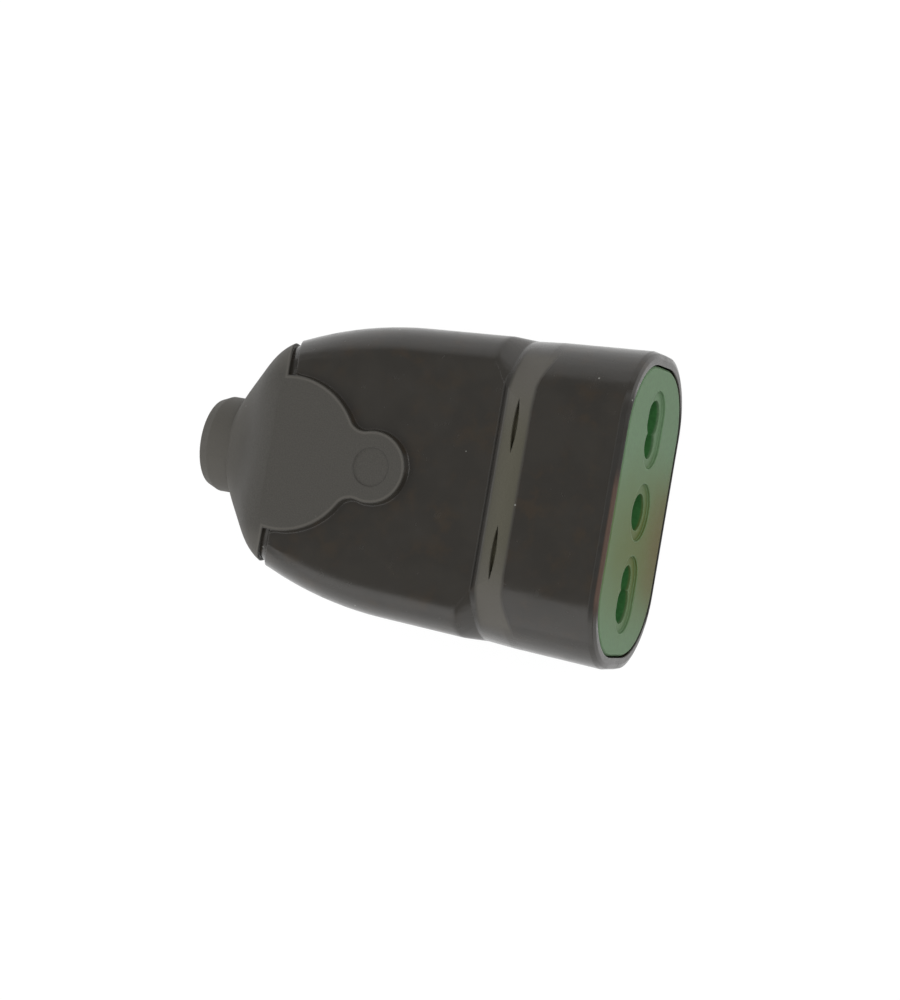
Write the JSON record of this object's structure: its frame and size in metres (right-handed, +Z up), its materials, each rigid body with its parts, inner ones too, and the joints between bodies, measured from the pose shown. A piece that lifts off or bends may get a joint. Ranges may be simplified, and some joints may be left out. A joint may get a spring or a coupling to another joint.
{
  "type": "straight cable socket",
  "caption": "Straight cable socket: a rubber housing with a round cord neck, holding a draw-out insert with round and figure-eight pin openings over spring contacts.",
  "frame": {"origin": "centre of the bounding box on the plane that the socket rests on", "axes": "+X along the socket's axis towards the mouth, +Y across its width, +Z up out of the upper broad face"},
  "size_m": [0.066, 0.0442, 0.0266],
  "materials": {
    "black_rubber": "moulded black rubber, glossy broad faces, matte pad and waist",
    "green_moulding": "moulded grey-green plastic, fine satin",
    "ivory_moulding": "moulded ivory thermoset, satin",
    "contact_brass": "drawn brass",
    "terminal_brass": "plated brass",
    "spring_steel": "blued spring steel",
    "screw_steel": "zinc-plated steel"
  },
  "bodies": {
    "housing": {"rubber_housing": "black_rubber"},
    "insert": {"face_insert": "green_moulding", "terminal_base": "ivory_moulding", "earth_contact": "contact_brass", "line_contact_left": "contact_brass", "line_contact_right": "contact_brass", "earth_spring": "spring_steel", "line_spring_left": "spring_steel", "line_spring_right": "spring_steel", "earth_terminal": "terminal_brass", "line_terminal_left": "terminal_brass", "line_terminal_right": "terminal_brass", "earth_screw": "screw_steel", "line_screw_left": "screw_steel", "line_screw_right": "screw_steel", "insert_screw_left": "screw_steel", "insert_screw_right": "screw_steel", "cord_clamp_saddle": "ivory_moulding", "clamp_screw_left": "screw_steel", "clamp_screw_right": "screw_steel"}
  },
  "joints": [
    {"name": "insert_draw", "type": "slide", "parent": "housing", "child": "insert", "axis": [1, 0, 0], "range_m": [0, 0.048]}
  ]
}
